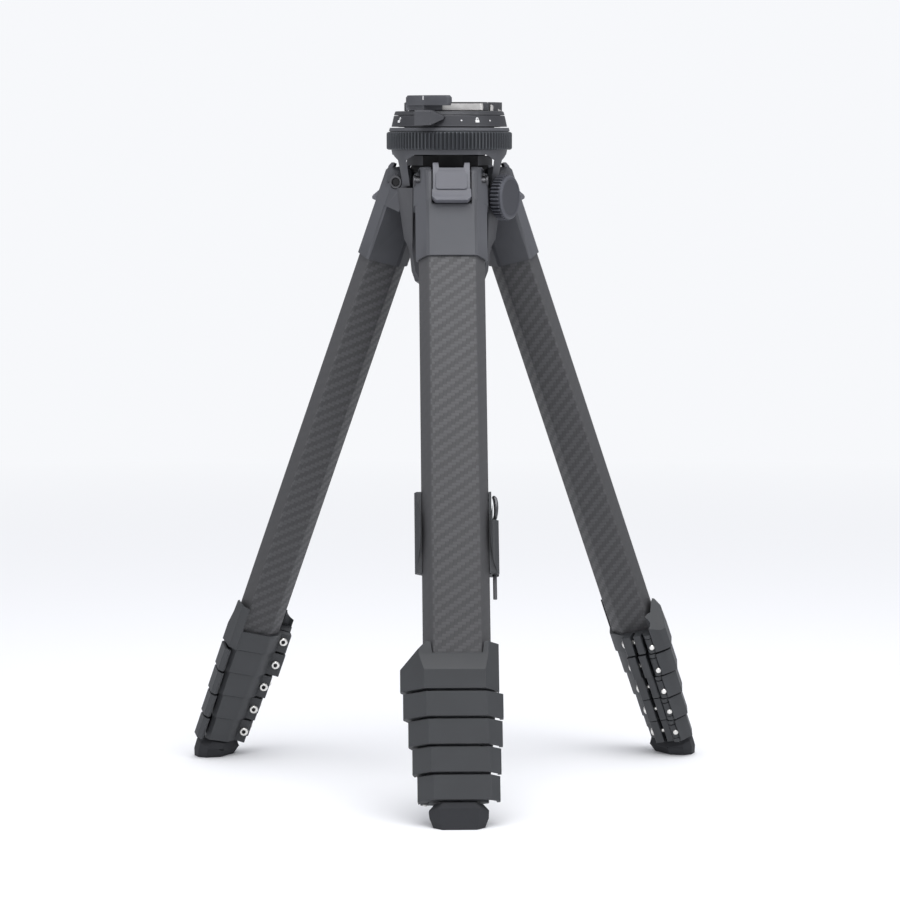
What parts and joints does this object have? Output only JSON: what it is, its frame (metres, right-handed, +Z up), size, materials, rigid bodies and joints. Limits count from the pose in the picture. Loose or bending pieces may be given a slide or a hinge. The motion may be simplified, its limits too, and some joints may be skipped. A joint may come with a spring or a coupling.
{
  "type": "travel tripod",
  "caption": "Compact carbon travel tripod with telescoping cam-lock legs, a clamped centre column and a low-profile levelling head with a dovetail camera clamp.",
  "frame": {"origin": "centre of the camera plate's top face", "axes": "+Z up along the centre column; -Y towards the front leg; +X to the right seen from the front leg"},
  "size_m": [0.2796, 0.248, 0.3645],
  "materials": {
    "painted_casting": "fine satin grey paint",
    "carbon_tube": "satin carbon fibre laminate with a twill weave",
    "lock_polymer": "fine satin moulded grey",
    "foot_rubber": "matt",
    "anodised_dark": "dark grey anodised",
    "bare_aluminium": "bare machined",
    "bright_steel": "bright",
    "liner_polymer": "bearing polymer"
  },
  "bodies": {
    "hub": {"hub": "painted_casting"},
    "column": {"center_column": "anodised_dark", "column_hook": "bright_steel", "head_neck": "painted_casting"},
    "adjust_ring": {"adjust_ring": "anodised_dark"},
    "pan_liner": {"pan_liner": "liner_polymer"},
    "tilt_liner": {"tilt_liner": "liner_polymer"},
    "platform": {"platform": "painted_casting", "camera_plate": "bare_aluminium"},
    "lock_ring": {"lock_ring": "anodised_dark"},
    "clamp_lever": {"clamp_lever": "anodised_dark"},
    "moving_jaw": {"moving_jaw": "painted_casting"},
    "column_knob": {"column_knob": "anodised_dark"},
    "hex_key": {"hex_key": "bright_steel"},
    "leg_1_top": {"leg_1_top_casting": "painted_casting", "leg_1_pivot_bolt": "bright_steel", "leg_1_section_1": "carbon_tube", "tool_holder": "lock_polymer"},
    "leg_1_latch": {"leg_1_angle_latch": "lock_polymer"},
    "leg_1_stage_2": {"leg_1_section_2": "carbon_tube"},
    "leg_1_stage_3": {"leg_1_section_3": "carbon_tube"},
    "leg_1_stage_4": {"leg_1_section_4": "carbon_tube"},
    "leg_1_stage_5": {"leg_1_section_5": "carbon_tube"},
    "leg_1_stage_6": {"leg_1_section_6": "carbon_tube", "leg_1_foot": "foot_rubber"},
    "leg_1_lever_1": {"leg_1_lever_1": "lock_polymer"},
    "leg_1_lever_2": {"leg_1_lever_2": "lock_polymer"},
    "leg_1_lever_3": {"leg_1_lever_3": "lock_polymer"},
    "leg_1_lever_4": {"leg_1_lever_4": "lock_polymer"},
    "leg_1_lever_5": {"leg_1_lever_5": "lock_polymer"},
    "leg_2_top": {"leg_2_top_casting": "painted_casting", "leg_2_pivot_bolt": "bright_steel", "leg_2_section_1": "carbon_tube"},
    "leg_2_latch": {"leg_2_angle_latch": "lock_polymer"},
    "leg_2_stage_2": {"leg_2_section_2": "carbon_tube"},
    "leg_2_stage_3": {"leg_2_section_3": "carbon_tube"},
    "leg_2_stage_4": {"leg_2_section_4": "carbon_tube"},
    "leg_2_stage_5": {"leg_2_section_5": "carbon_tube"},
    "leg_2_stage_6": {"leg_2_section_6": "carbon_tube", "leg_2_foot": "foot_rubber"},
    "leg_2_lever_1": {"leg_2_lever_1": "lock_polymer"},
    "leg_2_lever_2": {"leg_2_lever_2": "lock_polymer"},
    "leg_2_lever_3": {"leg_2_lever_3": "lock_polymer"},
    "leg_2_lever_4": {"leg_2_lever_4": "lock_polymer"},
    "leg_2_lever_5": {"leg_2_lever_5": "lock_polymer"},
    "leg_3_top": {"leg_3_top_casting": "painted_casting", "leg_3_pivot_bolt": "bright_steel", "leg_3_section_1": "carbon_tube"},
    "leg_3_latch": {"leg_3_angle_latch": "lock_polymer"},
    "leg_3_stage_2": {"leg_3_section_2": "carbon_tube"},
    "leg_3_stage_3": {"leg_3_section_3": "carbon_tube"},
    "leg_3_stage_4": {"leg_3_section_4": "carbon_tube"},
    "leg_3_stage_5": {"leg_3_section_5": "carbon_tube"},
    "leg_3_stage_6": {"leg_3_section_6": "carbon_tube", "leg_3_foot": "foot_rubber"},
    "leg_3_lever_1": {"leg_3_lever_1": "lock_polymer"},
    "leg_3_lever_2": {"leg_3_lever_2": "lock_polymer"},
    "leg_3_lever_3": {"leg_3_lever_3": "lock_polymer"},
    "leg_3_lever_4": {"leg_3_lever_4": "lock_polymer"},
    "leg_3_lever_5": {"leg_3_lever_5": "lock_polymer"}
  },
  "joints": [
    {"name": "column_rise", "type": "slide", "parent": "hub", "child": "column", "axis": [0, 0, 1], "range_m": [0, 0.18]},
    {"name": "column_knob_turn", "type": "hinge", "parent": "hub", "child": "column_knob", "pos_m": [0, 0, -0.05], "axis": [0.866, -0.5, 0], "continuous": true},
    {"name": "adjust_ring_turn", "type": "hinge", "parent": "column", "child": "adjust_ring", "pos_m": [0, 0, -0.02], "axis": [0, 0, 1], "range_deg": [0, 60]},
    {"name": "head_pan", "type": "hinge", "parent": "column", "child": "pan_liner", "pos_m": [0, 0, -0.011], "axis": [0, 0, 1], "continuous": true},
    {"name": "head_tilt_side", "type": "hinge", "parent": "pan_liner", "child": "tilt_liner", "pos_m": [0, 0, -0.011], "axis": [0, 1, 0], "range_deg": [-6, 6]},
    {"name": "head_tilt_front", "type": "hinge", "parent": "tilt_liner", "child": "platform", "pos_m": [0, 0, -0.011], "axis": [1, 0, 0], "range_deg": [-6, 6]},
    {"name": "lock_ring_turn", "type": "hinge", "parent": "platform", "child": "lock_ring", "pos_m": [0, 0, -0.011], "axis": [0, 0, 1], "range_deg": [0, 40]},
    {"name": "clamp_lever_swing", "type": "hinge", "parent": "platform", "child": "clamp_lever", "pos_m": [-0.0219, -0.0172, -0.002], "axis": [0, 0, -1], "range_deg": [0, 95]},
    {"name": "moving_jaw_slide", "type": "slide", "parent": "platform", "child": "moving_jaw", "axis": [-1, 0, 0], "range_m": [0, 0.0021]},
    {"name": "leg_1_spread", "type": "hinge", "parent": "hub", "child": "leg_1_top", "pos_m": [0, -0.0218, -0.042], "axis": [-1, 0, 0], "range_deg": [-21.4, 50], "stiffness_Nm_per_rad": 8},
    {"name": "leg_1_latch_press", "type": "hinge", "parent": "leg_1_top", "child": "leg_1_latch", "pos_m": [0, -0.03111, -0.03835], "axis": [-1, 0, 0], "range_deg": [0, 18]},
    {"name": "leg_1_extend_2", "type": "slide", "parent": "leg_1_top", "child": "leg_1_stage_2", "axis": [0, -0.3649, -0.9311], "range_m": [0, 0.2]},
    {"name": "leg_1_extend_3", "type": "slide", "parent": "leg_1_stage_2", "child": "leg_1_stage_3", "axis": [0, -0.3649, -0.9311], "range_m": [0, 0.2]},
    {"name": "leg_1_extend_4", "type": "slide", "parent": "leg_1_stage_3", "child": "leg_1_stage_4", "axis": [0, -0.3649, -0.9311], "range_m": [0, 0.2]},
    {"name": "leg_1_extend_5", "type": "slide", "parent": "leg_1_stage_4", "child": "leg_1_stage_5", "axis": [0, -0.3649, -0.9311], "range_m": [0, 0.2]},
    {"name": "leg_1_extend_6", "type": "slide", "parent": "leg_1_stage_5", "child": "leg_1_stage_6", "axis": [0, -0.3649, -0.9311], "range_m": [0, 0.2]},
    {"name": "leg_1_lever_1_flip", "type": "hinge", "parent": "leg_1_top", "child": "leg_1_lever_1", "pos_m": [-0.0225, -0.11476, -0.29154], "axis": [0, -0.3649, -0.9311], "range_deg": [0, 115]},
    {"name": "leg_1_lever_2_flip", "type": "hinge", "parent": "leg_1_stage_2", "child": "leg_1_lever_2", "pos_m": [-0.0213, -0.12078, -0.30663], "axis": [0, -0.3649, -0.9311], "range_deg": [0, 115]},
    {"name": "leg_1_lever_3_flip", "type": "hinge", "parent": "leg_1_stage_3", "child": "leg_1_lever_3", "pos_m": [-0.0196, -0.12608, -0.31959], "axis": [0, -0.3649, -0.9311], "range_deg": [0, 115]},
    {"name": "leg_1_lever_4_flip", "type": "hinge", "parent": "leg_1_stage_4", "child": "leg_1_lever_4", "pos_m": [-0.0182, -0.13146, -0.33252], "axis": [0, -0.3649, -0.9311], "range_deg": [0, 115]},
    {"name": "leg_1_lever_5_flip", "type": "hinge", "parent": "leg_1_stage_5", "child": "leg_1_lever_5", "pos_m": [-0.0167, -0.13694, -0.34541], "axis": [0, -0.3649, -0.9311], "range_deg": [0, 115]},
    {"name": "leg_2_spread", "type": "hinge", "parent": "hub", "child": "leg_2_top", "pos_m": [0.01888, 0.0109, -0.042], "axis": [0.5, -0.866, 0], "range_deg": [-21.4, 50], "stiffness_Nm_per_rad": 8},
    {"name": "leg_2_latch_press", "type": "hinge", "parent": "leg_2_top", "child": "leg_2_latch", "pos_m": [0.02694, 0.01555, -0.03835], "axis": [0.5, -0.866, 0], "range_deg": [0, 18]},
    {"name": "leg_2_extend_2", "type": "slide", "parent": "leg_2_top", "child": "leg_2_stage_2", "axis": [0.316, 0.1824, -0.9311], "range_m": [0, 0.2]},
    {"name": "leg_2_extend_3", "type": "slide", "parent": "leg_2_stage_2", "child": "leg_2_stage_3", "axis": [0.316, 0.1824, -0.9311], "range_m": [0, 0.2]},
    {"name": "leg_2_extend_4", "type": "slide", "parent": "leg_2_stage_3", "child": "leg_2_stage_4", "axis": [0.316, 0.1824, -0.9311], "range_m": [0, 0.2]},
    {"name": "leg_2_extend_5", "type": "slide", "parent": "leg_2_stage_4", "child": "leg_2_stage_5", "axis": [0.316, 0.1824, -0.9311], "range_m": [0, 0.2]},
    {"name": "leg_2_extend_6", "type": "slide", "parent": "leg_2_stage_5", "child": "leg_2_stage_6", "axis": [0.316, 0.1824, -0.9311], "range_m": [0, 0.2]},
    {"name": "leg_2_lever_1_flip", "type": "hinge", "parent": "leg_2_top", "child": "leg_2_lever_1", "pos_m": [0.11063, 0.03789, -0.29154], "axis": [0.316, 0.1824, -0.9311], "range_deg": [0, 115]},
    {"name": "leg_2_lever_2_flip", "type": "hinge", "parent": "leg_2_stage_2", "child": "leg_2_lever_2", "pos_m": [0.11525, 0.04194, -0.30663], "axis": [0.316, 0.1824, -0.9311], "range_deg": [0, 115]},
    {"name": "leg_2_lever_3_flip", "type": "hinge", "parent": "leg_2_stage_3", "child": "leg_2_lever_3", "pos_m": [0.11898, 0.04606, -0.31959], "axis": [0.316, 0.1824, -0.9311], "range_deg": [0, 115]},
    {"name": "leg_2_lever_4_flip", "type": "hinge", "parent": "leg_2_stage_4", "child": "leg_2_lever_4", "pos_m": [0.12295, 0.04997, -0.33252], "axis": [0.316, 0.1824, -0.9311], "range_deg": [0, 115]},
    {"name": "leg_2_lever_5_flip", "type": "hinge", "parent": "leg_2_stage_5", "child": "leg_2_lever_5", "pos_m": [0.12695, 0.05401, -0.34541], "axis": [0.316, 0.1824, -0.9311], "range_deg": [0, 115]},
    {"name": "leg_3_spread", "type": "hinge", "parent": "hub", "child": "leg_3_top", "pos_m": [-0.01888, 0.0109, -0.042], "axis": [0.5, 0.866, 0], "range_deg": [-21.4, 50], "stiffness_Nm_per_rad": 8},
    {"name": "leg_3_latch_press", "type": "hinge", "parent": "leg_3_top", "child": "leg_3_latch", "pos_m": [-0.02694, 0.01555, -0.03835], "axis": [0.5, 0.866, 0], "range_deg": [0, 18]},
    {"name": "leg_3_extend_2", "type": "slide", "parent": "leg_3_top", "child": "leg_3_stage_2", "axis": [-0.316, 0.1824, -0.9311], "range_m": [0, 0.2]},
    {"name": "leg_3_extend_3", "type": "slide", "parent": "leg_3_stage_2", "child": "leg_3_stage_3", "axis": [-0.316, 0.1824, -0.9311], "range_m": [0, 0.2]},
    {"name": "leg_3_extend_4", "type": "slide", "parent": "leg_3_stage_3", "child": "leg_3_stage_4", "axis": [-0.316, 0.1824, -0.9311], "range_m": [0, 0.2]},
    {"name": "leg_3_extend_5", "type": "slide", "parent": "leg_3_stage_4", "child": "leg_3_stage_5", "axis": [-0.316, 0.1824, -0.9311], "range_m": [0, 0.2]},
    {"name": "leg_3_extend_6", "type": "slide", "parent": "leg_3_stage_5", "child": "leg_3_stage_6", "axis": [-0.316, 0.1824, -0.9311], "range_m": [0, 0.2]},
    {"name": "leg_3_lever_1_flip", "type": "hinge", "parent": "leg_3_top", "child": "leg_3_lever_1", "pos_m": [-0.08813, 0.07687, -0.29154], "axis": [-0.316, 0.1824, -0.9311], "range_deg": [0, 115]},
    {"name": "leg_3_lever_2_flip", "type": "hinge", "parent": "leg_3_stage_2", "child": "leg_3_lever_2", "pos_m": [-0.09395, 0.07884, -0.30663], "axis": [-0.316, 0.1824, -0.9311], "range_deg": [0, 115]},
    {"name": "leg_3_lever_3_flip", "type": "hinge", "parent": "leg_3_stage_3", "child": "leg_3_lever_3", "pos_m": [-0.09939, 0.08001, -0.31959], "axis": [-0.316, 0.1824, -0.9311], "range_deg": [0, 115]},
    {"name": "leg_3_lever_4_flip", "type": "hinge", "parent": "leg_3_stage_4", "child": "leg_3_lever_4", "pos_m": [-0.10475, 0.08149, -0.33252], "axis": [-0.316, 0.1824, -0.9311], "range_deg": [0, 115]},
    {"name": "leg_3_lever_5_flip", "type": "hinge", "parent": "leg_3_stage_5", "child": "leg_3_lever_5", "pos_m": [-0.11025, 0.08293, -0.34541], "axis": [-0.316, 0.1824, -0.9311], "range_deg": [0, 115]},
    {"name": "hex_key_pull", "type": "slide", "parent": "leg_1_top", "child": "hex_key", "axis": [0, 0.3649, 0.9311], "range_m": [0, 0.06]}
  ],
  "couplings": [
    {"joint": "moving_jaw_slide", "follows": "clamp_lever_swing", "m_per_rad": 0.0012}
  ]
}
